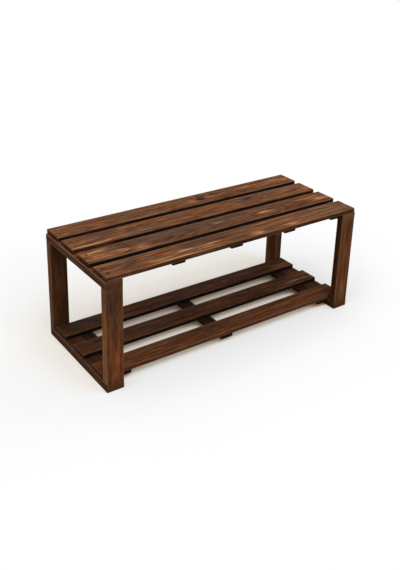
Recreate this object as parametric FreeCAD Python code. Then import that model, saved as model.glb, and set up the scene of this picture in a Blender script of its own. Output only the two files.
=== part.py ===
import FreeCAD, Part
import math
import os

# A stained pine bench: a seat of four slats on two end frames, with a low shelf of three slats.
# All sizes are in millimetres. The origin is on the floor under the middle of the seat,
# +X runs along the seat, +Y to the back and +Z up.

# Overall size
overall_length = 1150.0
overall_depth = 460.0
overall_height = 450.0

# End frames: each is a flat cross board, a flat foot board and two legs between them
frame_board_width = 68.0
cross_board_thickness = 28.0
foot_board_thickness = 32.0
leg_thickness = 30.0

# Slats of the seat and of the shelf
slat_thickness = 18.0
slat_end_setback = 5.0
seat_slat_width = 95.0
shelf_slat_width = 85.0
shelf_slat_clearance = 9.0

# Battens across the underside of the slats, placed as shares of the span between the frames
batten_width = 54.0
batten_thickness = 15.0
seat_batten_setback = 12.0
shelf_batten_setback = 3.0
seat_batten_shares = (0.229, 0.481, 0.734)
shelf_batten_share = 0.475

# Planed arrises along the grain. The sawn ends stay square.
arris_radius = 2.0

# Nails and screws are small, so their round sections are drawn with a few flat sides
fastener_sides = 6
tip_diameter_share = 0.15

# Nails that hold the slats to the frames, in pairs across each slat
nail_diameter = 3.0
nail_head_diameter = 6.0
nail_head_height = 1.2
nail_point_length = 4.0
nail_sink = 0.4
nail_pitch = 36.0
nail_line_setback = 28.0
nail_cover = 1.0

# Countersunk screws through the cross boards and foot boards into the ends of the legs
leg_screw_diameter = 5.0
leg_screw_head_diameter = 9.6
leg_screw_length = 70.0
leg_screw_shares = (0.25, 0.75)

# Countersunk screws up through the battens, one at each slat
batten_screw_diameter = 4.0
batten_screw_head_diameter = 7.6
batten_screw_cover = 5.0

# Every screw head lies a little below the wood, and every screw ends in a point
screw_sink = 0.5
screw_point_share = 1.4

# Names of the slats from front to back, and of the battens from left to right
seat_slat_names = ("front", "mid_front", "mid_back", "back")
shelf_slat_names = ("front", "middle", "back")
seat_batten_names = ("left", "middle", "right", "end")
shelf_batten_names = ("left", "middle", "right")

# Faces and levels that the pieces share
right_face = overall_length / 2
back_face = overall_depth / 2
front_face = -back_face
frame_inner_face = right_face - frame_board_width
span_between_frames = 2 * frame_inner_face
slat_end = right_face - slat_end_setback
seat_underside = overall_height - slat_thickness
leg_top = seat_underside - cross_board_thickness
leg_bottom = foot_board_thickness
shelf_top = foot_board_thickness + slat_thickness
shelf_edge = back_face - leg_thickness - shelf_slat_clearance
nail_length = slat_thickness + min(cross_board_thickness, foot_board_thickness) - nail_cover
batten_screw_length = batten_thickness + slat_thickness - batten_screw_cover


def board(low, high):
    """A board between two corners, with the edges along its grain rounded."""
    size = high - low
    block = Part.makeBox(size.x, size.y, size.z, low)
    length = max(size.x, size.y, size.z)
    long_edges = [edge for edge in block.Edges if abs(edge.Length - length) < arris_radius]
    return block.makeFillet(arris_radius, long_edges)


def spread(first_edge, last_edge, width, count):
    """Middles of equal boards laid at even gaps between two outer edges."""
    step = (last_edge - first_edge - width) / (count - 1)
    return [first_edge + width / 2 + step * index for index in range(count)]


def slats(middles, width, underside):
    """Slats along X, one at each middle, standing on a level."""
    pieces = []
    for middle in middles:
        low = FreeCAD.Vector(-slat_end, middle - width / 2, underside)
        high = FreeCAD.Vector(slat_end, middle + width / 2, underside + slat_thickness)
        pieces.append(board(low, high))
    return pieces


def battens(middles, half_length, top):
    """Battens along Y under a row of slats."""
    pieces = []
    for middle in middles:
        low = FreeCAD.Vector(middle - batten_width / 2, -half_length, top - batten_thickness)
        high = FreeCAD.Vector(middle + batten_width / 2, half_length, top)
        pieces.append(board(low, high))
    return pieces


def frame_board(side, bottom, thickness):
    """A flat board of one end frame, from front to back. Side is -1 at the left, 1 at the right."""
    inner, outer = sorted((side * frame_inner_face, side * right_face))
    low = FreeCAD.Vector(inner, front_face, bottom)
    high = FreeCAD.Vector(outer, back_face, bottom + thickness)
    return board(low, high)


def leg(side, end):
    """An upright between the foot board and the cross board. End is -1 at the front, 1 at the back."""
    inner, outer = sorted((side * frame_inner_face, side * right_face))
    near, far = sorted((end * (back_face - leg_thickness), end * back_face))
    low = FreeCAD.Vector(inner, near, leg_bottom)
    high = FreeCAD.Vector(outer, far, leg_top)
    return board(low, high)


def corners(diameter, level):
    """Corner points of a flat-sided section round the Z axis."""
    points = []
    for index in range(fastener_sides):
        turn = 2 * math.pi * index / fastener_sides
        across = diameter / 2 * math.cos(turn)
        along = diameter / 2 * math.sin(turn)
        points.append(FreeCAD.Vector(across, along, level))
    return points


def flat(points):
    """A flat face inside a closed row of corners."""
    return Part.Face(Part.makePolygon(points + [points[0]]))


def stem(top_diameter, top, bottom_diameter, bottom):
    """A straight or tapered solid round the Z axis, between two levels."""
    upper = corners(top_diameter, top)
    lower = corners(bottom_diameter, bottom)
    faces = [flat(upper), flat(lower)]
    for index in range(fastener_sides):
        faces.append(flat([lower[index - 1], lower[index], upper[index], upper[index - 1]]))
    return Part.Solid(Part.makeShell(faces))


def shank(diameter, top, bottom, point_length):
    """A shank that ends in a point, pointing down."""
    point_top = bottom + point_length
    point = stem(diameter, point_top, tip_diameter_share * diameter, bottom)
    return stem(diameter, top, diameter, point_top).fuse(point)


def nail():
    """A flat-headed nail that points down from the origin, its head a little below it."""
    head_bottom = -nail_sink - nail_head_height
    head = stem(nail_head_diameter, -nail_sink, nail_head_diameter, head_bottom)
    return head.fuse(shank(nail_diameter, head_bottom, -nail_length, nail_point_length))


def screw(diameter, head_diameter, length):
    """A countersunk screw that points down from the origin, its head a little below it."""
    head_bottom = -screw_sink - (head_diameter - diameter) / 2
    head = stem(head_diameter, -screw_sink, diameter, head_bottom)
    return head.fuse(shank(diameter, head_bottom, -length, screw_point_share * diameter))


def hole(fastener, head_diameter, sink):
    """What a fastener takes out of the wood: its own body and the dimple above its head."""
    return fastener.fuse(stem(head_diameter, sink, head_diameter, -sink))


def place(shape, x, y, z, from_below=False):
    """A copy of a fastener or its hole, driven down from a level, or up from it."""
    copy = shape.copy()
    if from_below:
        copy.rotate(FreeCAD.Vector(0, 0, 0), FreeCAD.Vector(1, 0, 0), 180)
    copy.translate(FreeCAD.Vector(x, y, z))
    return copy


def drilled(piece, holes):
    """The piece less every hole that reaches into it."""
    reached = [tool for tool in holes if tool.BoundBox.intersect(piece.BoundBox)]
    return piece.cut(reached) if reached else piece


# Where the boards lie
seat_slat_middles = spread(front_face, back_face, seat_slat_width, len(seat_slat_names))
shelf_slat_middles = spread(-shelf_edge, shelf_edge, shelf_slat_width, len(shelf_slat_names))
batten_end_middle = frame_inner_face - batten_width / 2
seat_batten_middles = [-frame_inner_face + share * span_between_frames for share in seat_batten_shares]
seat_batten_middles.append(batten_end_middle)
shelf_batten_middle = -frame_inner_face + shelf_batten_share * span_between_frames
shelf_batten_middles = [-batten_end_middle, shelf_batten_middle, batten_end_middle]

# The boards, still without holes
wood = {}
for name, piece in zip(seat_slat_names, slats(seat_slat_middles, seat_slat_width, seat_underside)):
    wood["seat_slat_" + name] = piece
for name, piece in zip(shelf_slat_names, slats(shelf_slat_middles, shelf_slat_width, foot_board_thickness)):
    wood["shelf_slat_" + name] = piece
seat_battens = battens(seat_batten_middles, back_face - seat_batten_setback, seat_underside)
for name, piece in zip(seat_batten_names, seat_battens):
    wood["seat_batten_" + name] = piece
shelf_battens = battens(shelf_batten_middles, shelf_edge - shelf_batten_setback, foot_board_thickness)
for name, piece in zip(shelf_batten_names, shelf_battens):
    wood["shelf_batten_" + name] = piece
for side, side_name in ((-1, "left"), (1, "right")):
    wood["cross_board_" + side_name] = frame_board(side, leg_top, cross_board_thickness)
    wood["foot_board_" + side_name] = frame_board(side, 0, foot_board_thickness)
    wood["leg_front_" + side_name] = leg(side, -1)
    wood["leg_back_" + side_name] = leg(side, 1)

# Nails: two at each end of each slat
nail_line = right_face - nail_line_setback
nail_solid = nail()
nail_hole = hole(nail_solid, nail_head_diameter, nail_sink)


def nail_points(middles, level):
    """Places of the nails of one row of slats."""
    points = []
    for x in (-nail_line, nail_line):
        for middle in middles:
            points.append((x, middle - nail_pitch / 2, level))
            points.append((x, middle + nail_pitch / 2, level))
    return points


# Screws into the legs: two at each end of each leg
leg_screw_solid = screw(leg_screw_diameter, leg_screw_head_diameter, leg_screw_length)
leg_screw_hole = hole(leg_screw_solid, leg_screw_head_diameter, screw_sink)


def leg_screw_points(level):
    """Places of the screws at the top or at the foot of the four legs."""
    points = []
    for share in leg_screw_shares:
        x = frame_inner_face + share * frame_board_width
        y = back_face - leg_thickness / 2
        points += [(-x, -y, level), (-x, y, level), (x, -y, level), (x, y, level)]
    return points


# Screws up through the battens
batten_screw_solid = screw(batten_screw_diameter, batten_screw_head_diameter, batten_screw_length)
batten_screw_hole = hole(batten_screw_solid, batten_screw_head_diameter, screw_sink)


def batten_screw_points(batten_middles, slat_middles, top):
    """Places of the screws where battens cross slats."""
    level = top - batten_thickness
    return [(x, y, level) for x in batten_middles for y in slat_middles]


# Each group of fasteners: its name, the solid, its hole, the places, and whether it is driven upwards
fastener_groups = (
    ("seat_slat_nails", nail_solid, nail_hole,
     nail_points(seat_slat_middles, overall_height), False),
    ("shelf_slat_nails", nail_solid, nail_hole,
     nail_points(shelf_slat_middles, shelf_top), False),
    ("leg_top_screws", leg_screw_solid, leg_screw_hole,
     leg_screw_points(seat_underside), False),
    ("leg_foot_screws", leg_screw_solid, leg_screw_hole,
     leg_screw_points(0), True),
    ("seat_batten_screws", batten_screw_solid, batten_screw_hole,
     batten_screw_points(seat_batten_middles, seat_slat_middles, seat_underside), True),
    ("shelf_batten_screws", batten_screw_solid, batten_screw_hole,
     batten_screw_points(shelf_batten_middles, shelf_slat_middles, foot_board_thickness), True),
)

fasteners = {}
holes = []
for name, solid, tool, points, from_below in fastener_groups:
    fasteners[name] = Part.makeCompound([place(solid, *point, from_below) for point in points])
    holes += [place(tool, *point, from_below) for point in points]

os.makedirs("parts", exist_ok=True)
for name, piece in wood.items():
    drilled(piece, holes).exportStep("parts/" + name + ".step")
for name, group in fasteners.items():
    group.exportStep("parts/" + name + ".step")
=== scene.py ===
import bpy
import math
import random
from mathutils import Matrix, Quaternion, Vector


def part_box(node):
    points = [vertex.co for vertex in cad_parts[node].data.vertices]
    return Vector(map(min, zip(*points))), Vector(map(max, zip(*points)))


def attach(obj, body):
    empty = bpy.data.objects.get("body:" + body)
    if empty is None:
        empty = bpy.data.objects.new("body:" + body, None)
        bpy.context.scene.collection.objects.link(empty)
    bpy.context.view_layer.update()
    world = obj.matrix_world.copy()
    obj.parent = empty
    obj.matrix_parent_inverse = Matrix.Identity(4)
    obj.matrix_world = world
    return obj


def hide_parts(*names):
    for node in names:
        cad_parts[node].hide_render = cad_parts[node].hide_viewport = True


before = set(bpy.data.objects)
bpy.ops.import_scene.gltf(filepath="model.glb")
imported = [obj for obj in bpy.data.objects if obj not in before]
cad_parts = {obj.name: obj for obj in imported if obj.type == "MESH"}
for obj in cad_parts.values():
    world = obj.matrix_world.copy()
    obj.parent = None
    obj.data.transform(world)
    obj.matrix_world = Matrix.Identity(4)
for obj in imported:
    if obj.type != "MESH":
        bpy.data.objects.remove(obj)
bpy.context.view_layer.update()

# One seed for all that differs by chance from board to board
chance = random.Random(12)

# One millimetre, in the scene's metres
mm = 0.001
# Lengths shorter than this count as nothing when edges are picked
tolerance = 0.01 * mm

# Sizes of the fasteners, as the solids of the frame have them
nail_head_diameter = 6.0 * mm
nail_head_height = 1.2 * mm
nail_diameter = 3.0 * mm
nail_sink = 0.4 * mm
nail_length = 45.0 * mm
nail_point_length = 4.0 * mm
nail_pitch = 36.0 * mm
nail_line_from_slat_end = 23.0 * mm
leg_screw_head_diameter = 9.6 * mm
leg_screw_diameter = 5.0 * mm
leg_screw_length = 70.0 * mm
leg_screw_shares = (0.25, 0.75)
batten_screw_head_diameter = 7.6 * mm
batten_screw_diameter = 4.0 * mm
batten_screw_length = 28.0 * mm
screw_sink = 0.5 * mm
screw_point_share = 1.4

# How the fasteners are finished: the softened rim of a nail's head, and the width that a point keeps
nail_rim = 0.35 * mm
nail_rim_segments = 2
tip_share = 0.1
fastener_sides = 24
# A bar that cuts one arm of a cross slot: its length, width and height as shares of the head's
# diameter, and what is left of its length and width at the bottom
slot_shares = (0.58, 0.13, 0.36)
slot_bottom_share = 0.6

# How the boards were planed, sawn and eased. Their edges wave slowly, as hand-finished ones do.
arris_radius = 2.0 * mm
arris_segments = 4
sawn_end_ease = 0.8 * mm
sawn_end_segments = 2
wave_step = 22.0 * mm
wave_depth = 0.5 * mm
wave_size = 40.0 * mm
smooth_angle = math.radians(40)

# Pockets for the heads: room round a head, depth below the wood, and height to pass through its face
head_clearance = 0.15 * mm
nail_pocket_depth = nail_sink + nail_head_height
leg_pocket_depth = screw_sink + 2.0 * mm
batten_pocket_depth = screw_sink + 1.8 * mm
pocket_overrun = 2.0 * mm
pocket_sides = 32
# A small turn keeps the corners of a round cutter off the cross lines of a board's mesh
cutter_turn = math.radians(4)

# A face looks up or down when this much of its normal does
mostly = 0.9

along_x, along_y, along_z = 0, 1, 2

# How a fastener lies: driven down, or turned over and driven up from below
driven_down = Matrix.Identity(4)
driven_up = Matrix.Rotation(math.pi, 4, "X")

seat_slats = ("seat_slat_front", "seat_slat_mid_front", "seat_slat_mid_back", "seat_slat_back")
shelf_slats = ("shelf_slat_front", "shelf_slat_middle", "shelf_slat_back")
cross_boards = ("cross_board_left", "cross_board_right")
foot_boards = ("foot_board_left", "foot_board_right")
legs = ("leg_front_left", "leg_front_right", "leg_back_left", "leg_back_right")
seat_battens = ("seat_batten_left", "seat_batten_middle", "seat_batten_right", "seat_batten_end")
shelf_battens = ("shelf_batten_left", "shelf_batten_middle", "shelf_batten_right")


def middle(node):
    """The middle of a node's box."""
    low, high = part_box(node)
    return (low + high) / 2


def linear(code):
    """A colour written as sRGB hex, as the linear colour that a shader takes."""
    shares = [int(code[place:place + 2], 16) / 255 for place in (1, 3, 5)]
    return tuple(s / 12.92 if s <= 0.04045 else ((s + 0.055) / 1.055) ** 2.4 for s in shares) + (1.0,)


def add(tree, kind, settings, inputs):
    """Adds one node with its settings. An input takes a value, or a node or socket to link to it."""
    node = tree.nodes.new(kind)
    for name, value in settings.items():
        setattr(node, name, value)
    for name, value in inputs.items():
        if isinstance(value, bpy.types.Node):
            value = value.outputs[0]
        if isinstance(value, bpy.types.NodeSocket):
            tree.links.new(value, node.inputs[name])
        else:
            node.inputs[name].default_value = value
    return node


def paint(ramp, stops):
    """Sets the stops of a colour ramp: places and sRGB colours."""
    elements = ramp.color_ramp.elements
    while len(elements) < len(stops):
        elements.new(1.0)
    for element, (position, code) in zip(elements, stops):
        element.position = position
        element.color = linear(code)


def new_material(name):
    """An empty material, its node tree and its Principled shader."""
    material = bpy.data.materials.new(name)
    material.use_nodes = True
    tree = material.node_tree
    tree.nodes.clear()
    shader = add(tree, "ShaderNodeBsdfPrincipled", {}, {})
    add(tree, "ShaderNodeOutputMaterial", {}, {"Surface": shader})
    return material, tree, shader


# Settings that several nodes share, and the sockets of a Mix node that mixes colours
smooth = {"interpolation_type": "SMOOTHSTEP"}
weighted_sum = {"operation": "MULTIPLY_ADD"}
colour_mix = {"data_type": "RGBA"}
colour_a, colour_b, mixed = 6, 7, 2

# Turns that bring a board's length to X, its width to Y and its thickness to Z
board_turns = {
    along_x: Matrix.Identity(3),
    along_y: Matrix(((0, 1, 0), (-1, 0, 0), (0, 0, 1))),
    along_z: Matrix(((0, 0, 1), (1, 0, 0), (0, 1, 0))),
}

# Stain on pine, from where it soaked in most to wood that it hardly coloured: a warm run of colours,
# a smoky one where the stain lay thick and greyed, and a ruddy one where it was rubbed in thin
warm_stain = (
    (0.00, "#1b0c06"), (0.20, "#3b1f10"), (0.40, "#5a331c"), (0.55, "#714427"), (0.70, "#8a5631"),
    (0.85, "#a66d42"), (1.00, "#c69260"))
smoky_stain = (
    (0.00, "#150e0a"), (0.20, "#2f2118"), (0.40, "#493427"), (0.55, "#5c4433"), (0.70, "#735842"),
    (0.85, "#8c6f53"), (1.00, "#a98d6e"))
ruddy_stain = (
    (0.00, "#1f0b05"), (0.20, "#431c0f"), (0.40, "#66331c"), (0.55, "#7f4427"), (0.70, "#9b5733"),
    (0.85, "#b87345"), (1.00, "#d29b68"))
bare_arris = "#a68468"
knot_heart = "#231008"
# Near black of the marks round nails: iron stain, and painted shade of the sunk heads
iron_stain_and_painted_shade = "#120b08"

# Patterns in the pine, as features per metre along and across the grain, then detail, roughness,
# distortion and a place of its own in the noise. Fibres are 10 mm wide and 180 mm long and finer
# ones 2.5 mm by 40 mm. Resin ducts are about 1 mm by 17 mm, several times as coarse as real ones, so
# that they show. Drifts of stain are 180 mm long and 30 mm wide, and smoke in it 250 mm by 55 mm.
# Year rings wander in waves about 80 mm wide, and arrises are rubbed in lengths of about 125 mm.
grain_patterns = {
    "wander": (3.0, 12.0, 2.0, 0.5, 0.0, 0),
    "fibre": (5.5, 100.0, 3.0, 0.65, 0.15, 3),
    "fine_fibre": (25.0, 420.0, 3.0, 0.6, 0.0, 5),
    "resin_duct": (60.0, 900.0, 2.0, 0.5, 0.0, 7),
    "drift": (5.5, 30.0, 3.0, 0.6, 0.4, 9),
    "smoke": (4.0, 18.0, 3.0, 0.6, 0.3, 11),
    "rubbed": (8.0, 30.0, 4.0, 0.65, 0.0, 13),
}
# How much each pattern and the late wood lighten or darken the stain, and what late wood adds on
# average
grain_weights = (("fibre", 1.2), ("fine_fibre", 0.85), ("resin_duct", 0.25), ("drift", 0.32))
late_wood_weight = 0.14
late_wood_average = 0.06

# Year rings 5 mm apart: each goes from early wood, black here, to late wood, white, and drops back
ring_spacing = 5.0 * mm
late_wood_stops = ((0.2, "#000000"), (0.78, "#ffffff"), (0.97, "#000000"))
# How far two of the patterns push the rings aside
ring_pushes = (("wander", 30 * mm), ("fibre", 2 * mm))
# Where the pith runs: at most so far to one side, so far below the board, and at such a slant
pith_aside = 25 * mm
pith_below = (40 * mm, 80 * mm)
most_slant_aside = 0.03
slant_down = (0.02, 0.06)

# Knots and the marks round nails are longer than wide, and knots push the rings aside by a share of
# their size. Then how ragged the rims of knots, marks and drifts are, as shares of their size.
knot_length_share = 2.2
mark_length_share = 1.2
knot_push_share = 0.6
knot_rag, mark_rag, drift_rag = 1.2, 0.6, 4.0

# How much of a face's normal lies along the grain where a sawn end begins, and where it is full
sawn_from, sawn_to = 0.6, 0.95
# What is left of the grain's contrast on a sawn end
sawn_contrast_share = 0.3

# Arrises are rubbed fully up to the first length and not at all past the second, both taken as the
# depths under the two faces of an arris, added up
rubbed_to, rubbed_until = 1.6 * mm, 4.6 * mm

# Oiled pine has hardly any gloss, and its hard, light fibres are smoother than its open, dark ones
pine_gloss = 0.06
dark_fibre_roughness, light_fibre_roughness = 0.86, 0.66
# Relief of the planed face: how much each pattern raises it, and how deep it is
relief_weights = (("resin_duct", 1.0), ("late_wood", 0.3), ("fine_fibre", 1.0))
relief_depth = 0.4 * mm
relief_strength = 0.5


def spot_reach(tree, board, spot, rag, how_ragged):
    """Distance from the middle of an oval spot, as a share of its size, with a ragged rim."""
    run, across, length, width = (value * mm for value in spot)
    offset = add(
        tree, "ShaderNodeVectorMath", {"operation": "SUBTRACT"}, {0: board, 1: (run, across, 0)})
    shape = add(
        tree, "ShaderNodeVectorMath", {"operation": "MULTIPLY"},
        {0: offset, 1: (2 / length, 2 / width, 0)})
    distance = add(tree, "ShaderNodeVectorMath", {"operation": "LENGTH"}, {0: shape}).outputs["Value"]
    centred = add(tree, "ShaderNodeMath", {"operation": "SUBTRACT"}, {0: rag, 1: 0.5})
    return add(tree, "ShaderNodeMath", weighted_sum, {0: centred, 1: -how_ragged, 2: distance})


def grain_noise(tree, board):
    """Every pattern of the grain on one board, as noise that is stretched along it."""
    seed = chance.uniform(0, 50)
    noise = {}
    for pattern, (along, across, detail, roughness, distortion, shift) in grain_patterns.items():
        stretched = add(
            tree, "ShaderNodeVectorMath", {"operation": "MULTIPLY"},
            {0: board, 1: (along, across, across)})
        noise[pattern] = add(
            tree, "ShaderNodeTexNoise", {"noise_dimensions": "4D"},
            {"Vector": stretched, "W": seed + shift, "Scale": 1.0, "Detail": detail,
             "Roughness": roughness, "Distortion": distortion})
    return noise


def pith_distance(tree, board, run_place, noise):
    """Distance from a pith that runs at a slant below the board, unsettled by the grain."""
    pith = Vector((0, chance.uniform(-pith_aside, pith_aside), -chance.uniform(*pith_below)))
    slant = Vector((0, chance.uniform(-most_slant_aside, most_slant_aside), chance.uniform(*slant_down)))
    slope = add(tree, "ShaderNodeVectorMath", {"operation": "SCALE"}, {0: slant, "Scale": run_place})
    section = add(
        tree, "ShaderNodeVectorMath", {"operation": "MULTIPLY_ADD"}, {0: board, 1: (0, 1, 1), 2: -pith})
    from_pith = add(tree, "ShaderNodeVectorMath", {"operation": "ADD"}, {0: section, 1: slope})
    radius = add(tree, "ShaderNodeVectorMath", {"operation": "LENGTH"}, {0: from_pith}).outputs["Value"]
    for pattern, push in ring_pushes:
        radius = add(tree, "ShaderNodeMath", weighted_sum, {0: noise[pattern], 1: push, 2: radius})
    return radius


def add_knots(tree, board, noise, radius, knots):
    """Knots push the rings aside and have a dark heart. Gives the new radius and the hearts."""
    hearts = []
    for run, across, size, strength in knots:
        oval = (run, across, knot_length_share * size, size)
        reach = spot_reach(tree, board, oval, noise["wander"], knot_rag)
        push = add(
            tree, "ShaderNodeMapRange", smooth,
            {"Value": reach, "From Min": 0.4, "From Max": 3.5,
             "To Min": knot_push_share * size * mm, "To Max": 0.0})
        radius = add(tree, "ShaderNodeMath", {"operation": "ADD"}, {0: push, 1: radius})
        heart = add(
            tree, "ShaderNodeMapRange", smooth,
            {"Value": reach, "From Min": 0.45, "From Max": 1.2, "To Min": strength, "To Max": 0.0})
        hearts.append((heart, knot_heart))
    return radius, hearts


def nail_marks(tree, board, noise, marks):
    """Dark marks round the nails' heads: iron in the nails has blackened the stain, and the shade of
    the sunk heads is painted in as well.
    """
    spots = []
    for run, across, size, strength in marks:
        oval = (run, across, mark_length_share * size, size)
        reach = spot_reach(tree, board, oval, noise["fine_fibre"], mark_rag)
        mark = add(
            tree, "ShaderNodeMapRange", smooth,
            {"Value": reach, "From Min": 0.7, "From Max": 1.1, "To Min": strength, "To Max": 0.0})
        spots.append((mark, iron_stain_and_painted_shade))
    return spots


def late_wood_of(tree, radius):
    """How much late wood shows at a distance from the pith, from 0 to 1."""
    rings = add(tree, "ShaderNodeMath", {"operation": "MULTIPLY"}, {0: radius, 1: 1 / ring_spacing})
    ring = add(tree, "ShaderNodeMath", {"operation": "FRACT"}, {0: rings})
    late_wood = add(tree, "ShaderNodeValToRGB", {}, {"Fac": ring})
    paint(late_wood, late_wood_stops)
    return late_wood


def stain_taken(tree, board, facing, noise, late_wood, look):
    """How light the stain came out, from 0 to 1, and how smoky, or below 0 how ruddy."""
    # The grain shows strongly along the board and hardly on its sawn ends
    end_on = add(tree, "ShaderNodeMath", {"operation": "ABSOLUTE"}, {0: facing["X"]})
    contrast = add(
        tree, "ShaderNodeMapRange", smooth,
        {"Value": end_on, "From Min": sawn_from, "From Max": sawn_to,
         "To Min": look["contrast"], "To Max": sawn_contrast_share * look["contrast"]})
    average = sum(weight for pattern, weight in grain_weights) / 2 + late_wood_average
    grain = add(
        tree, "ShaderNodeMath", weighted_sum, {0: late_wood, 1: late_wood_weight, 2: -average})
    for pattern, weight in grain_weights:
        grain = add(tree, "ShaderNodeMath", weighted_sum, {0: noise[pattern], 1: weight, 2: grain})
    shade = add(tree, "ShaderNodeMath", weighted_sum, {0: grain, 1: contrast, 2: 0.5 + look["tone"]})
    smoky = add(
        tree, "ShaderNodeMapRange", smooth,
        {"Value": noise["smoke"], "From Min": 0.40, "From Max": 0.72,
         "To Min": look["smoke"], "To Max": look["smoke"] + 0.7})

    # Lighter, smokier or warmer places, which show most along the hard fibres
    along_fibres = add(
        tree, "ShaderNodeMapRange", smooth,
        {"Value": noise["fibre"], "From Min": 0.38, "From Max": 0.62, "To Min": 0.3, "To Max": 1.6})
    for *spot, lighter, smokier in look["drifts"]:
        reach = spot_reach(tree, board, spot, noise["fibre"], drift_rag)
        blend = add(
            tree, "ShaderNodeMapRange", smooth,
            {"Value": reach, "From Min": 0.3, "From Max": 1.3, "To Min": 1.0, "To Max": 0.0})
        streaks = add(tree, "ShaderNodeMath", {"operation": "MULTIPLY"}, {0: blend, 1: along_fibres})
        shade = add(tree, "ShaderNodeMath", weighted_sum, {0: streaks, 1: lighter, 2: shade})
        smoky = add(tree, "ShaderNodeMath", weighted_sum, {0: blend, 1: smokier, 2: smoky})

    # Sawn ends took the stain differently from the face
    sawn = add(
        tree, "ShaderNodeMapRange", smooth,
        {"Value": end_on, "From Min": sawn_from, "From Max": sawn_to})
    shade = add(tree, "ShaderNodeMath", weighted_sum, {0: sawn, 1: look["sawn_end"], 2: shade})
    smoky = add(tree, "ShaderNodeMath", weighted_sum, {0: sawn, 1: look["end_smoke"], 2: smoky})
    # Some long sides are painted darker as shade: those close to a neighbour across a narrow gap, and a
    # leg's side under the seat. A few legs' sides are painted lighter, as light that falls on them.
    for side, darker in look["painted_side_shade_and_light"]:
        towards = add(tree, "ShaderNodeMath", {"operation": "MULTIPLY"}, {0: facing["Y"], 1: side})
        painted_side = add(
            tree, "ShaderNodeMapRange", smooth,
            {"Value": towards, "From Min": 0.35, "From Max": 0.85, "To Max": -darker})
        shade = add(tree, "ShaderNodeMath", {"operation": "ADD"}, {0: painted_side, 1: shade})
    return shade, smoky


def rubbed_arrises(tree, board, width_place, half, noise, look):
    """How far each arris is rubbed down to pale wood, in broken lengths. Where a look gives the back
    arrises a value of their own, their extra paleness is painted light.
    """
    depth = add(tree, "ShaderNodeVectorMath", {"operation": "ABSOLUTE"}, {0: board})
    depth = add(tree, "ShaderNodeVectorMath", {"operation": "SUBTRACT"}, {0: half, 1: depth})
    depth = add(tree, "ShaderNodeSeparateXYZ", {}, {"Vector": depth}).outputs
    wear = add(
        tree, "ShaderNodeMapRange", smooth,
        {"Value": width_place, "From Min": -half.y, "From Max": half.y,
         "To Min": look["wear"], "To Max": look.get("back_wear_and_painted_light", look["wear"])})
    arrises = (("Y", "Z", wear), ("X", "Z", look["end_wear"]), ("X", "Y", look["end_wear"]))
    rub = 0.0
    for first, second, most in arrises:
        reach = add(tree, "ShaderNodeMath", {"operation": "ADD"}, {0: depth[first], 1: depth[second]})
        near = add(
            tree, "ShaderNodeMapRange", smooth,
            {"Value": reach, "From Min": rubbed_to, "From Max": rubbed_until,
             "To Min": most, "To Max": 0.0})
        rub = add(tree, "ShaderNodeMath", {"operation": "MAXIMUM"}, {0: rub, 1: near})
    broken = add(
        tree, "ShaderNodeMapRange", smooth,
        {"Value": noise["rubbed"], "From Min": 0.32, "From Max": 0.58, "To Min": 0.2, "To Max": 1.0})
    return add(tree, "ShaderNodeMath", {"operation": "MULTIPLY"}, {0: rub, 1: broken})


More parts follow.
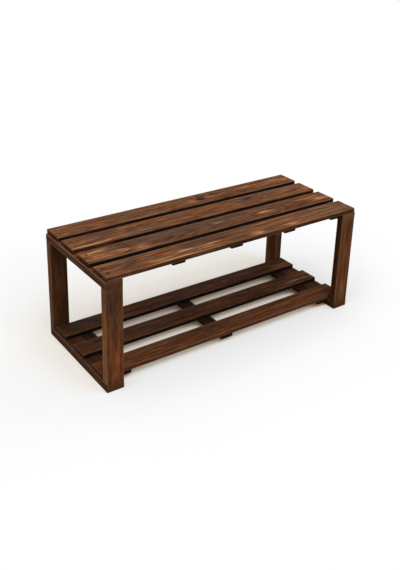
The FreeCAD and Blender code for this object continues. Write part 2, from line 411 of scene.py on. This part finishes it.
def stained_pine(name, node, run, look):
    """Planed pine under a brown oil stain: soft early wood drank the stain and went dark, hard late
    wood stayed lighter, the stain lies in smoky and orange drifts, and the arrises are rubbed pale."""
    material, tree, shader = new_material(name)
    low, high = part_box(node)
    turn = board_turns[run]
    half = Vector(abs(side) for side in turn @ ((high - low) / 2))
    turned = turn.to_euler("XYZ")

    # A place on the board, from its middle, and the way that its face looks
    place = add(tree, "ShaderNodeTexCoord", {}, {}).outputs
    board = add(
        tree, "ShaderNodeMapping", {},
        {"Vector": place["Object"], "Location": -(turn @ ((low + high) / 2)), "Rotation": turned})
    on_board = add(tree, "ShaderNodeSeparateXYZ", {}, {"Vector": board}).outputs
    facing = add(
        tree, "ShaderNodeMapping", {"vector_type": "NORMAL"},
        {"Vector": place["Normal"], "Rotation": turned})
    facing = add(tree, "ShaderNodeSeparateXYZ", {}, {"Vector": facing}).outputs

    noise = grain_noise(tree, board)
    radius = pith_distance(tree, board, on_board["X"], noise)
    radius, spots = add_knots(tree, board, noise, radius, look["knots"])
    spots += nail_marks(tree, board, noise, look["marks"])
    late_wood = late_wood_of(tree, radius)
    shade, smoky = stain_taken(tree, board, facing, noise, late_wood, look)

    stains = []
    for stops in (warm_stain, smoky_stain, ruddy_stain):
        stain = add(tree, "ShaderNodeValToRGB", {}, {"Fac": shade})
        paint(stain, stops)
        stains.append(stain)
    warm, smoked, ruddy = stains
    colour = add(tree, "ShaderNodeMix", colour_mix, {0: smoky, colour_a: warm, colour_b: smoked})
    ruddiness = add(
        tree, "ShaderNodeMapRange", smooth,
        {"Value": smoky, "From Min": 0.0, "From Max": -0.8, "To Min": 0.0, "To Max": 1.0})
    rub = rubbed_arrises(tree, board, on_board["Y"], half, noise, look)
    # What lies over the stain, from the bottom to the top
    layers = [(ruddiness, ruddy)]
    layers += [(amount, linear(code)) for amount, code in spots]
    layers.append((rub, linear(bare_arris)))
    for amount, over in layers:
        colour = add(
            tree, "ShaderNodeMix", colour_mix,
            {0: amount, colour_a: colour.outputs[mixed], colour_b: over})
    tree.links.new(colour.outputs[mixed], shader.inputs["Base Color"])

    # Satin on the hard fibres, duller on the open ones
    rough = add(
        tree, "ShaderNodeMapRange", {},
        {"Value": noise["fibre"], "From Min": 0.3, "From Max": 0.7,
         "To Min": dark_fibre_roughness, "To Max": light_fibre_roughness})
    tree.links.new(rough.outputs["Result"], shader.inputs["Roughness"])
    shader.inputs["Specular IOR Level"].default_value = pine_gloss

    # Open fibres lie low, and late wood stands a little proud
    heights = {**noise, "late_wood": late_wood}
    relief = 0.0
    for pattern, weight in relief_weights:
        relief = add(tree, "ShaderNodeMath", weighted_sum, {0: heights[pattern], 1: weight, 2: relief})
    bump = add(
        tree, "ShaderNodeBump", {},
        {"Height": relief, "Strength": relief_strength, "Distance": relief_depth})
    tree.links.new(bump.outputs["Normal"], shader.inputs["Normal"])
    return material


def clouded_metal(name, clouds_per_metre, colours, metallic, roughness, bump_strength, bump_depth):
    """A metal whose colour, roughness and relief follow one pattern of soft clouds."""
    material, tree, shader = new_material(name)
    place = add(tree, "ShaderNodeTexCoord", {}, {}).outputs["Object"]
    clouds = add(
        tree, "ShaderNodeTexNoise", {}, {"Vector": place, "Scale": clouds_per_metre, "Detail": 3.0})
    colour = add(tree, "ShaderNodeValToRGB", {}, {"Fac": clouds})
    paint(colour, colours)
    tree.links.new(colour.outputs["Color"], shader.inputs["Base Color"])
    shader.inputs["Metallic"].default_value = metallic
    smoothest, roughest = roughness
    rough = add(
        tree, "ShaderNodeMapRange", {}, {"Value": clouds, "To Min": smoothest, "To Max": roughest})
    tree.links.new(rough.outputs["Result"], shader.inputs["Roughness"])
    bump = add(
        tree, "ShaderNodeBump", {},
        {"Height": clouds, "Strength": bump_strength, "Distance": bump_depth})
    tree.links.new(bump.outputs["Normal"], shader.inputs["Normal"])
    return material


def darkened_wire():
    """Drawn steel wire, stained over with the wood: nearly black and dull, with rust in specks of
    about 1 mm."""
    return clouded_metal(
        "darkened_steel_wire", clouds_per_metre=900.0, colours=((0.45, "#0d0907"), (0.72, "#2a1810")),
        metallic=0.2, roughness=(0.65, 0.9), bump_strength=0.4, bump_depth=0.1 * mm)


def yellow_zinc():
    """Zinc plate passivated yellow: bright metal with a soft straw cast that wanders in clouds of
    about 4 mm."""
    return clouded_metal(
        "yellow_passivated_zinc", clouds_per_metre=260.0, colours=((0.35, "#8d7a4a"), (0.65, "#b9a67c")),
        metallic=1.0, roughness=(0.28, 0.5), bump_strength=0.3, bump_depth=0.05 * mm)


def select_only(piece):
    """Makes one piece the only one selected, and the active one."""
    bpy.ops.object.select_all(action="DESELECT")
    piece.select_set(True)
    bpy.context.view_layer.objects.active = piece


def put_in_mesh(piece):
    """Moves a piece's place, turn and scale into its mesh, so that its object sits at the origin."""
    select_only(piece)
    bpy.ops.object.transform_apply(location=True, rotation=True, scale=True)


def start_picking(kind):
    """Leaves nothing picked in the active piece, ready for its edges or faces to be picked."""
    bpy.ops.object.mode_set(mode="EDIT")
    bpy.ops.mesh.select_mode(type=kind)
    bpy.ops.mesh.select_all(action="DESELECT")
    bpy.ops.object.mode_set(mode="OBJECT")


def pick_edges(piece, wanted):
    """Opens a piece in edit mode with only the wanted edges selected."""
    start_picking("EDGE")
    corners = piece.data.vertices
    for edge in piece.data.edges:
        edge.select = wanted(*(corners[index].co for index in edge.vertices))
    bpy.ops.object.mode_set(mode="EDIT")


def pick_faces(piece, wanted):
    """Opens a piece in edit mode with only the wanted faces selected."""
    start_picking("FACE")
    for polygon in piece.data.polygons:
        polygon.select = wanted(polygon)
    bpy.ops.object.mode_set(mode="EDIT")


def looks_up(polygon):
    """Whether a face looks up."""
    return polygon.normal.z > mostly


def looks_down(polygon):
    """Whether a face looks down."""
    return polygon.normal.z < -mostly


# Slow wave of a hand-finished edge
wave_texture = bpy.data.textures.new("slow_wave", "CLOUDS")
wave_texture.noise_scale = wave_size
wave_texture.noise_depth = 2


def planed_board(node, run):
    """A board in place of its CAD node: long arrises rounded, sawn ends eased, and edges that wave
    a little inwards."""
    low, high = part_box(node)
    bpy.ops.object.select_all(action="DESELECT")
    bpy.ops.mesh.primitive_cube_add(size=1, location=(low + high) / 2, scale=high - low)
    board = bpy.context.object
    board.name = "planed_" + node
    put_in_mesh(board)
    pick_edges(board, lambda a, b: abs(a[run] - b[run]) > tolerance)
    bpy.ops.mesh.bevel(offset=arris_radius, segments=arris_segments, affect="EDGES")
    pick_edges(board, lambda a, b: abs(a[run] - b[run]) < tolerance)
    bpy.ops.mesh.bevel(offset=sawn_end_ease, segments=sawn_end_segments, affect="EDGES")
    length = high[run] - low[run]
    pick_edges(board, lambda a, b: abs(a[run] - b[run]) > length / 2)
    bpy.ops.mesh.subdivide(number_cuts=int(length / wave_step))
    bpy.ops.object.mode_set(mode="OBJECT")
    wave = board.modifiers.new("wave", "DISPLACE")
    wave.texture = wave_texture
    wave.texture_coords = "LOCAL"
    wave.strength = -wave_depth
    wave.mid_level = 0.0
    bpy.ops.object.modifier_apply(modifier=wave.name)
    return board


def cut(piece, cutter):
    """Takes a cutter out of a piece and throws the cutter away."""
    select_only(piece)
    pocket = piece.modifiers.new("pocket", "BOOLEAN")
    pocket.object = cutter
    pocket.operation = "DIFFERENCE"
    pocket.solver = "EXACT"
    bpy.ops.object.modifier_apply(modifier=pocket.name)
    bpy.data.objects.remove(cutter)


def copies(first, places, turn, name):
    """One piece made of a copy of the first at each place, turned over where it is driven upwards."""
    made = []
    for place in places:
        twin = first.copy()
        twin.data = first.data.copy()
        twin.data.transform(Matrix.Translation(place) @ turn)
        bpy.context.collection.objects.link(twin)
        made.append(twin)
    select_only(made[0])
    for twin in made:
        twin.select_set(True)
    bpy.ops.object.join()
    group = bpy.context.object
    group.name = name
    return group


def finish_piece(piece, node, material):
    """Gives a piece its finish and its body, and hides the CAD node that it stands for."""
    select_only(piece)
    bpy.ops.object.shade_smooth_by_angle(angle=smooth_angle)
    piece.data.materials.clear()
    piece.data.materials.append(material)
    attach(piece, "root")
    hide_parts(node)


def head_cutter(head_diameter, depth, turn, places):
    """Cutter for a row of sunk heads, which passes through the wood's face."""
    bpy.ops.object.select_all(action="DESELECT")
    bpy.ops.mesh.primitive_cylinder_add(
        vertices=pocket_sides, radius=head_diameter / 2 + head_clearance, depth=depth + pocket_overrun,
        location=(0, 0, (pocket_overrun - depth) / 2), rotation=(0, 0, cutter_turn))
    pocket = bpy.context.object
    put_in_mesh(pocket)
    row = copies(pocket, places, turn, "pockets")
    bpy.data.objects.remove(pocket)
    return row


def draw_shank(length, point_length):
    """Draws the selected face of a fastener down into a shank and a point."""
    bpy.ops.mesh.extrude_region_move(
        TRANSFORM_OT_translate={"value": (0, 0, point_length - length)})
    bpy.ops.mesh.extrude_region_move(TRANSFORM_OT_translate={"value": (0, 0, -point_length)})
    bpy.ops.transform.resize(value=(tip_share, tip_share, 1.0))
    bpy.ops.object.mode_set(mode="OBJECT")


def wire_nail():
    """A round wire nail that points down: a flat head with a softened rim, a shank and a point."""
    bpy.ops.object.select_all(action="DESELECT")
    bpy.ops.mesh.primitive_cylinder_add(
        vertices=fastener_sides, radius=nail_head_diameter / 2, depth=nail_head_height,
        location=(0, 0, -nail_sink - nail_head_height / 2))
    nail = bpy.context.object
    put_in_mesh(nail)
    pick_faces(nail, looks_up)
    bpy.ops.mesh.bevel(offset=nail_rim, segments=nail_rim_segments, affect="EDGES")
    pick_faces(nail, looks_down)
    bpy.ops.mesh.inset(thickness=(nail_head_diameter - nail_diameter) / 2)
    draw_shank(nail_length - nail_sink - nail_head_height, nail_point_length)
    return nail


def countersunk_screw(diameter, head_diameter, length):
    """A countersunk screw with a cross slot, pointing down."""
    bpy.ops.object.select_all(action="DESELECT")
    head_height = (head_diameter - diameter) / 2
    bpy.ops.mesh.primitive_cone_add(
        vertices=fastener_sides, radius1=diameter / 2, radius2=head_diameter / 2, depth=head_height,
        location=(0, 0, -screw_sink - head_height / 2))
    screw = bpy.context.object
    put_in_mesh(screw)
    pick_faces(screw, looks_down)
    draw_shank(length - screw_sink - head_height, screw_point_share * diameter)
    slot_size = Vector(slot_shares) * head_diameter
    for size in (slot_size, slot_size.yxz):
        bpy.ops.mesh.primitive_cube_add(size=1, location=(0, 0, -screw_sink), scale=size)
        slot_cutter = bpy.context.object
        put_in_mesh(slot_cutter)
        pick_faces(slot_cutter, looks_down)
        bpy.ops.transform.resize(value=(slot_bottom_share, slot_bottom_share, 1.0))
        bpy.ops.object.mode_set(mode="OBJECT")
        cut(screw, slot_cutter)
    return screw


def nail_places(slats):
    """Two nails at each end of each slat, in its top face."""
    places = []
    for slat in slats:
        low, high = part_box(slat)
        for x in (low.x + nail_line_from_slat_end, high.x - nail_line_from_slat_end):
            for side in (-1, 1):
                places.append(Vector((x, middle(slat).y + side * nail_pitch / 2, high.z)))
    return places


def leg_screw_places(level):
    """Two screws at one end of each leg."""
    places = []
    for leg in legs:
        low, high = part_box(leg)
        outer, inner = (low.x, high.x) if middle(leg).x < 0 else (high.x, low.x)
        for share in leg_screw_shares:
            places.append(Vector((outer + share * (inner - outer), middle(leg).y, level)))
    return places


def crossing_places(battens, slats):
    """One screw where each batten crosses each slat, at the batten's underside."""
    return [
        Vector((middle(batten).x, middle(slat).y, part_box(batten)[0].z))
        for batten in battens for slat in slats]


# Places of the fasteners, worked out from the boards that they join
seat_nail_places = nail_places(seat_slats)
shelf_nail_places = nail_places(shelf_slats)
leg_top_places = leg_screw_places(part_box("cross_board_left")[1].z)
leg_foot_places = leg_screw_places(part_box("foot_board_left")[0].z)
seat_crossings = crossing_places(seat_battens, seat_slats)
shelf_crossings = crossing_places(shelf_battens, shelf_slats)

# Pockets: the boards that they open in, their places, the head's diameter, the depth and the way in
nail_pocket = (nail_head_diameter, nail_pocket_depth, driven_down)
batten_pocket = (batten_screw_head_diameter, batten_pocket_depth, driven_up)
pockets = (
    (seat_slats, seat_nail_places, nail_pocket),
    (shelf_slats, shelf_nail_places, nail_pocket),
    (cross_boards, leg_top_places, (leg_screw_head_diameter, leg_pocket_depth, driven_down)),
    (foot_boards, leg_foot_places, (leg_screw_head_diameter, leg_pocket_depth, driven_up)),
    (seat_battens, seat_crossings, batten_pocket),
    (shelf_battens, shelf_crossings, batten_pocket),
)


def sink_heads(board, node):
    """Cuts the pockets of the fastener heads that open in a board's surface."""
    low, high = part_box(node)
    for nodes, places, (head_diameter, depth, turn) in pockets:
        if node in nodes:
            inside = [p for p in places if low.x < p.x < high.x and low.y < p.y < high.y]
            cut(board, head_cutter(head_diameter, depth, turn, inside))


# How the boards were stained and worn, and where light and shade are painted on them, as plain
# shares. Tone is how light the stain is, contrast how strongly the grain shows, and smoke how grey.
# Wear is how pale the long arrises are rubbed, with a value of its own for those at the back, whose
# extra paleness is painted light, and end_wear for those round the sawn ends. On the sawn ends,
# sawn_end is added to the tone and end_smoke to the smoke. A side painted with shade is -1 or 1
# across the board, and how much darker it is painted, or below 0 how much lighter, as painted light.
# Drifts are ovals: run, across, length and width in mm from the middle of the board, then how much
# lighter and how much smokier the stain is there. Knots and the dark marks round nails, iron stain
# with painted shade, are run, across and size in mm, then strength.
usual_look = {
    "smoke": 0.15, "sawn_end": -0.12, "end_smoke": 0.0, "painted_side_shade_and_light": (), "drifts": (), "knots": (),
    "marks": (),
}
kind_looks = {
    "seat_slat": {
        # The seat slats' back arrises are painted paler than their front ones, as light, besides their
        # wear
        "tone": 0.035, "contrast": 0.9, "wear": 0.36, "back_wear_and_painted_light": 0.9, "end_wear": 0.18,
        "sawn_end": -0.33, "end_smoke": -0.8},
    "shelf_slat": {"tone": -0.05, "contrast": 0.8, "wear": 0.25, "end_wear": 0.12},
    "cross_board": {
        "tone": -0.03, "contrast": 0.65, "wear": 0.45, "end_wear": 0.15, "sawn_end": 0.05},
    "foot_board": {
        "tone": -0.14, "contrast": 0.65, "wear": 0.2, "end_wear": 0.1, "sawn_end": 0.15, "smoke": 0.0},
    "leg": {"tone": 0.02, "contrast": 0.6, "wear": 0.4, "end_wear": 0.0, "smoke": 0.05},
    # The battens are painted darker in tone, as the shade that they lie in under the slats
    "seat_batten": {"tone": -0.26, "contrast": 0.3, "wear": 0.1, "end_wear": 0.1},
    "shelf_batten": {"tone": -0.38, "contrast": 0.3, "wear": 0.1, "end_wear": 0.1},
}
board_looks = {
    # The seat slats' sides that face a neighbour across a gap are painted dark, as the shade in the gaps
    "seat_slat_back": {
        "contrast": 1.05, "painted_side_shade_and_light": ((-1, 0.56),),
        "knots": ((90, -6, 34, 1.0),),
        "drifts": (
            (-90, 30, 160, 30, -0.09, 0.0), (130, 2, 50, 20, 0.12, -0.3), (50, -8, 60, 22, 0.08, -0.4),
            (480, 0, 200, 50, 0.10, -0.2), (300, -26, 220, 40, -0.11, 0.0)),
    },
    "seat_slat_mid_back": {
        "painted_side_shade_and_light": ((-1, 0.6), (1, 0.6)), "sawn_end": -0.39,
        "knots": ((256, 20, 24, 0.8), (-260, 14, 9, 1.0)),
        "marks": ((-547, 18, 10, 0.8),),
        "drifts": (
            (-510, -34, 150, 50, 0.22, 0.0), (-440, 15, 150, 60, -0.06, 0.6),
            (-350, -30, 180, 40, 0.08, 0.0), (-160, 20, 60, 16, 0.12, -0.6),
            (-220, 0, 200, 30, -0.08, 0.1), (-370, 30, 120, 30, 0.10, 0.0),
            (260, 10, 260, 60, -0.02, 0.3), (450, 0, 120, 50, 0.07, 0.0),
            (540, -20, 110, 60, 0.18, -0.1)),
    },
    "seat_slat_mid_front": {
        "contrast": 1.05, "painted_side_shade_and_light": ((-1, 0.56), (1, 0.56)), "sawn_end": -0.39,
        "marks": ((-547, 18, 12, 1.0),),
        "drifts": (
            (-530, 32, 120, 40, 0.28, -0.2), (-480, -25, 170, 50, 0.11, -0.2),
            (-380, 25, 180, 50, -0.09, 0.6), (-352, -22, 110, 26, 0.18, -0.8),
            (-130, 5, 330, 90, -0.09, 0.6), (5, 3, 60, 14, 0.24, 0.0),
            (70, 0, 200, 80, -0.07, 0.4), (238, -2, 90, 26, 0.20, -0.7),
            (340, 10, 170, 60, -0.09, 0.1), (390, -30, 180, 40, -0.18, 0.0),
            (480, 10, 110, 50, 0.08, 0.0), (540, -25, 90, 50, 0.14, -0.1)),
    },
    "seat_slat_front": {
        "contrast": 0.76, "painted_side_shade_and_light": ((1, 0.56), (-1, 0.14)), "wear": 0.4,
        "marks": ((-547, 18, 12, 1.0), (-547, -18, 12, 1.0)),
        "drifts": (
            (-530, -30, 100, 50, 0.18, -0.3), (-430, 30, 330, 36, 0.14, 0.0),
            (-480, 0, 110, 30, -0.11, 0.2), (-400, -30, 120, 36, 0.08, -0.3),
            (-280, 0, 130, 40, 0.14, -0.2), (-210, -28, 260, 40, 0.20, -0.3),
            (-190, 8, 100, 30, -0.12, 0.3), (-130, 30, 240, 40, -0.13, 0.3),
            (0, -28, 110, 40, -0.08, 0.3), (75, -28, 80, 24, 0.20, -0.4),
            (120, 30, 90, 26, 0.14, 0.0), (245, -28, 90, 20, 0.30, -0.4),
            (320, 0, 140, 80, 0.03, 0.0), (490, 0, 180, 60, 0.06, 0.3)),
    },
    "shelf_slat_front": {
        "painted_side_shade_and_light": ((1, 0.40),), "wear": 0.32, "smoke": -0.15,
        "drifts": (
            (-510, 0, 140, 85, -0.05, 0.0), (-60, 0, 300, 80, -0.02, 0.0),
            (240, -28, 160, 40, -0.06, 0.0)),
    },
    # The middle and back shelf slats are painted darker in tone, as shade under the seat
    "shelf_slat_middle": {
        "painted_side_shade_and_light": ((-1, 0.40), (1, 0.40)), "tone": -0.15,
        "drifts": (
            (-510, 0, 160, 85, -0.04, 0.0), (400, 0, 250, 80, 0.07, 0.0),
            (530, 0, 150, 85, 0.14, -0.1)),
    },
    "shelf_slat_back": {
        "painted_side_shade_and_light": ((-1, 0.40),), "tone": -0.15,
        "drifts": (
            (-510, 10, 180, 85, -0.12, 0.2), (100, 28, 900, 40, -0.10, 0.1),
            (530, -20, 140, 50, 0.16, -0.2)),
    },
    "cross_board_left": {"sawn_end": 0.04},
    "cross_board_right": {"tone": 0.03, "sawn_end": 0.16},
    # The dark drift along the left foot board is painted shade under the shelf's slats
    "foot_board_left": {"drifts": ((0, 0, 420, 56, -0.12, 0.0),)},
    "foot_board_right": {"sawn_end": 0.08},
    # The legs' sides are painted lighter as light where it falls on them, and darker as shade under the
    # seat
    "leg_front_left": {
        "tone": 0.09, "smoke": -0.15, "marks": ((30, 32, 7, 0.8),), "painted_side_shade_and_light": ((-1, -0.17),),
        "drifts": (
            (160, 0, 130, 120, -0.10, 0.4), (-111, 4, 120, 14, 0.07, -0.8),
            (85, -2, 110, 40, -0.03, 0.5), (-120, 20, 160, 30, 0.03, -0.5)),
    },
    "leg_front_right": {
        "tone": 0.08, "smoke": -0.1, "wear": 0.5, "painted_side_shade_and_light": ((-1, 0.16),),
        "drifts": ((0, 0, 372, 30, 0.09, 0.0), (-140, 0, 150, 60, 0.05, 0.0)),
    },
    "leg_back_left": {
        "painted_side_shade_and_light": ((-1, -0.06),),
        "drifts": ((-130, 10, 140, 60, -0.12, 0.0),),
    },
    "leg_back_right": {
        "painted_side_shade_and_light": ((-1, -0.14),),
        # Painted light and shade: this leg's face is lighter towards its right edge and darker towards
        # its left
        "drifts": ((0, 22, 320, 56, 0.14, -0.1), (0, -26, 320, 34, -0.08, 0.2)),
    },
}

# The boards: each kind's nodes, the way that its length runs, and its slot
board_kinds = {
    "seat_slat": (seat_slats, along_x, "stained_pine_seat"),
    "shelf_slat": (shelf_slats, along_x, "stained_pine_shelf"),
    "cross_board": (cross_boards, along_y, "stained_pine_frame"),
    "foot_board": (foot_boards, along_y, "stained_pine_frame"),
    "leg": (legs, along_z, "stained_pine_frame"),
    "seat_batten": (seat_battens, along_y, "stained_pine_battens"),
    "shelf_batten": (shelf_battens, along_y, "stained_pine_battens"),
}
for kind, (nodes, run, slot) in board_kinds.items():
    for node in nodes:
        board = planed_board(node, run)
        sink_heads(board, node)
        look = {**usual_look, **kind_looks[kind], **board_looks.get(node, {})}
        finish_piece(board, node, stained_pine("stained_pine_" + node, node, run, look))

# The fasteners: each kind is modelled once and copied to its places
nail = wire_nail()
leg_screw = countersunk_screw(leg_screw_diameter, leg_screw_head_diameter, leg_screw_length)
batten_screw = countersunk_screw(batten_screw_diameter, batten_screw_head_diameter, batten_screw_length)
nail_finish = ("wire_", "nail_steel", darkened_wire())
screw_finish = ("cross_slot_", "screw_steel", yellow_zinc())
fastener_groups = (
    ("seat_slat_nails", nail, seat_nail_places, driven_down, nail_finish),
    ("shelf_slat_nails", nail, shelf_nail_places, driven_down, nail_finish),
    ("leg_top_screws", leg_screw, leg_top_places, driven_down, screw_finish),
    ("leg_foot_screws", leg_screw, leg_foot_places, driven_up, screw_finish),
    ("seat_batten_screws", batten_screw, seat_crossings, driven_up, screw_finish),
    ("shelf_batten_screws", batten_screw, shelf_crossings, driven_up, screw_finish),
)
for node, first, places, turn, (prefix, slot, plating) in fastener_groups:
    finish_piece(copies(first, places, turn, prefix + node), node, plating)
for first in (nail, leg_screw, batten_screw):
    bpy.data.objects.remove(first)


def shown_to_camera(tree):
    """1 for rays that show a thing to the camera, straight or in gloss or glass, and 0 for light."""
    ray = add(tree, "ShaderNodeLightPath", {}, {}).outputs
    shown = ray["Is Camera Ray"]
    for kind in ("Is Glossy Ray", "Is Transmission Ray"):
        shown = add(tree, "ShaderNodeMath", {"operation": "MAXIMUM"}, {0: shown, 1: ray[kind]})
    return shown


# White paper on the floor: its width in metres, its grey where it shows, and where it throws light back
paper_width = 60
paper_shown = (0.45, 0.45, 0.45, 1.0)
paper_in_the_light = (0.2, 0.2, 0.2, 1.0)
# Its glow, which paints the shade round the bench, from closed in to open: painted contact shadow
# dark close to a board, a warm painted shadow where the bench stands in front of it, and white far
# away. Each look round has its reach, its middle direction, its number of rays and its colours.
painted_floor_shade = (
    (90 * mm, (0.0, 0.0, 1.0), 16, ((0.16, "#6e5a48"), (0.28, "#bcb6ae"), (0.38, "#c4c4c4"))),
    (900 * mm, (0.3, -0.8, 0.5), 32, (
        (0.40, "#aaa094"), (0.52, "#f9f1e5"), (0.66, "#f3ebdc"), (0.86, "#f6f6f6"), (0.97, "#f6f6f6"),
        (1.00, "#ffffff"))),
)


def studio_floor():
    """Matt white paper that runs far past the view. The camera sees it nearly white, with the bench's
    soft shadow, partly cast by the lamps and partly painted by a glow that ambient occlusion darkens
    near the boards, and it throws only a little light back up."""
    bpy.ops.object.select_all(action="DESELECT")
    bpy.ops.mesh.primitive_plane_add(size=paper_width, location=(0, 0, 0))
    floor = bpy.context.object
    floor.name = "studio_floor"
    material = bpy.data.materials.new("white_paper_with_painted_shade")
    material.use_nodes = True
    tree = material.node_tree
    tree.nodes.clear()
    painted_shades = []
    # Painted shadow: ambient occlusion darkens the glow close to boards and warms it behind the bench
    for reach, (x, y, z), rays, stops in painted_floor_shade:
        outlook = add(tree, "ShaderNodeCombineXYZ", {}, {"X": x, "Y": y, "Z": z})
        closed_in = add(
            tree, "ShaderNodeAmbientOcclusion", {"samples": rays},
            {"Distance": reach, "Normal": outlook})
        painted_shade = add(tree, "ShaderNodeValToRGB", {}, {"Fac": closed_in.outputs["AO"]})
        paint(painted_shade, stops)
        painted_shades.append(painted_shade)
    near, far = painted_shades
    painted_floor_brightness = add(
        tree, "ShaderNodeMix", {"data_type": "RGBA", "blend_type": "MULTIPLY"},
        {0: 1.0, colour_a: near, colour_b: far})
    glow_with_painted_shade = add(tree, "ShaderNodeEmission", {}, {"Color": painted_floor_brightness.outputs[mixed]})
    lit = add(tree, "ShaderNodeBsdfDiffuse", {}, {"Color": paper_shown})
    bright = add(tree, "ShaderNodeAddShader", {}, {0: lit, 1: glow_with_painted_shade})
    dim = add(tree, "ShaderNodeBsdfDiffuse", {}, {"Color": paper_in_the_light})
    paper = add(tree, "ShaderNodeMixShader", {}, {0: shown_to_camera(tree), 1: dim, 2: bright})
    add(tree, "ShaderNodeOutputMaterial", {}, {"Surface": paper})
    floor.data.materials.append(material)


# Even room: dim as a lamp, white to the camera and in reflections
room_light, room_shown = 0.115, 1.0


def white_room():
    """The room round the bench, as the world."""
    room = bpy.data.worlds.new("white_room")
    bpy.context.scene.world = room
    room.use_nodes = True
    tree = room.node_tree
    tree.nodes.clear()
    level = add(
        tree, "ShaderNodeMapRange", {},
        {"Value": shown_to_camera(tree), "To Min": room_light, "To Max": room_shown})
    background = add(
        tree, "ShaderNodeBackground", {}, {"Color": linear("#ffffff"), "Strength": level})
    add(tree, "ShaderNodeOutputWorld", {}, {"Surface": background})


# Soft boxes round the bench: where each stands, in degrees from the front towards the right and up
# from the floor, and its share of the light on a surface that faces it
soft_boxes = (
    ("front", 0, 60, 0.41), ("left", 270, 60, 0.35), ("right", 90, 60, 0.10), ("back", 180, 60, 0.12),
    ("low_front", 0, 30, 0.075))
soft_box_spread = math.radians(40)


def direction(around, height):
    """The way from the bench to something that stands round it: 0 is in front of it, and a quarter
    turn on is to its right."""
    return Vector((
        math.sin(around) * math.cos(height), -math.cos(around) * math.cos(height), math.sin(height)))


def soft_box(name, around, height, level):
    """A far soft box, as a wide sun."""
    lamp = bpy.data.lights.new("soft_box_" + name, "SUN")
    lamp.energy = math.pi * level
    lamp.angle = soft_box_spread
    holder = bpy.data.objects.new("soft_box_" + name, lamp)
    towards = direction(math.radians(around), math.radians(height))
    holder.rotation_euler = (-towards).to_track_quat("-Z", "Y").to_euler()
    bpy.context.collection.objects.link(holder)


studio_floor()
white_room()
for box in soft_boxes:
    soft_box(*box)

# Camera at the photograph's place: left of the bench, in front and above. The picture's height, the
# lens and the height of the lens axis above the picture's middle are in pixels of the photograph.
camera_place = Vector((-1.6258, -2.2265, 1.6429))
camera_azimuth = math.radians(-35.476)
camera_elevation = math.radians(21.714)
camera_roll = math.radians(1.593)
picture_height = 570
focal_pixels = 772.2
axis_above_middle = 90
sensor_width_mm = 36
photo_lens = bpy.data.cameras.new("photo_camera")
photo_lens.sensor_width = sensor_width_mm
photo_lens.lens = focal_pixels * sensor_width_mm / picture_height
photo_lens.shift_y = -axis_above_middle / picture_height
camera = bpy.data.objects.new("photo_camera", photo_lens)
camera.location = camera_place
camera.rotation_mode = "QUATERNION"
view_line = -direction(camera_azimuth, camera_elevation)
camera.rotation_quaternion = view_line.to_track_quat("-Z", "Y") @ Quaternion((0, 0, 1), camera_roll)
bpy.context.collection.objects.link(camera)
bpy.context.scene.camera = camera
bpy.context.scene.view_settings.view_transform = "Standard"
